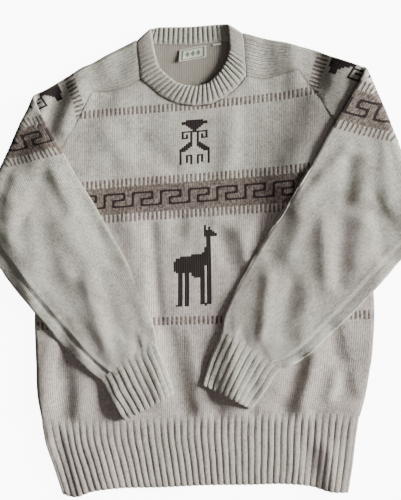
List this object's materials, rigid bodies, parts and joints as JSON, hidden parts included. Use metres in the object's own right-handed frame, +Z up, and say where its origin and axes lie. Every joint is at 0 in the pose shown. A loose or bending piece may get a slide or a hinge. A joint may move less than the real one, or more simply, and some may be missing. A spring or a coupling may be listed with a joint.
{
  "type": "shetland sweater",
  "caption": "Crew-neck wool sweater lying flat, front up, both saddle-shoulder sleeves folded over the front, with ribbed hem, cuffs and neckband.",
  "frame": {"origin": "centre of the sweater's footprint, on the surface it lies on", "axes": "+Z up from the surface, +Y from the hem to the neck, +X to the wearer's left"},
  "size_m": [0.6802, 0.7094, 0.022],
  "materials": {
    "knit": "matt heathered wool, stocking stitch",
    "rib": "matt heathered wool, ribbed",
    "label": "woven satin with a plain border",
    "tab": "plain woven tape"
  },
  "bodies": {
    "root": {"front": "knit", "back": "knit", "sleeve_left": "knit", "sleeve_right": "knit", "hem_front": "rib", "hem_back": "rib", "cuff_left": "rib", "cuff_right": "rib", "neckband": "rib", "label": "label", "size_tab": "tab"}
  },
  "joints": []
}
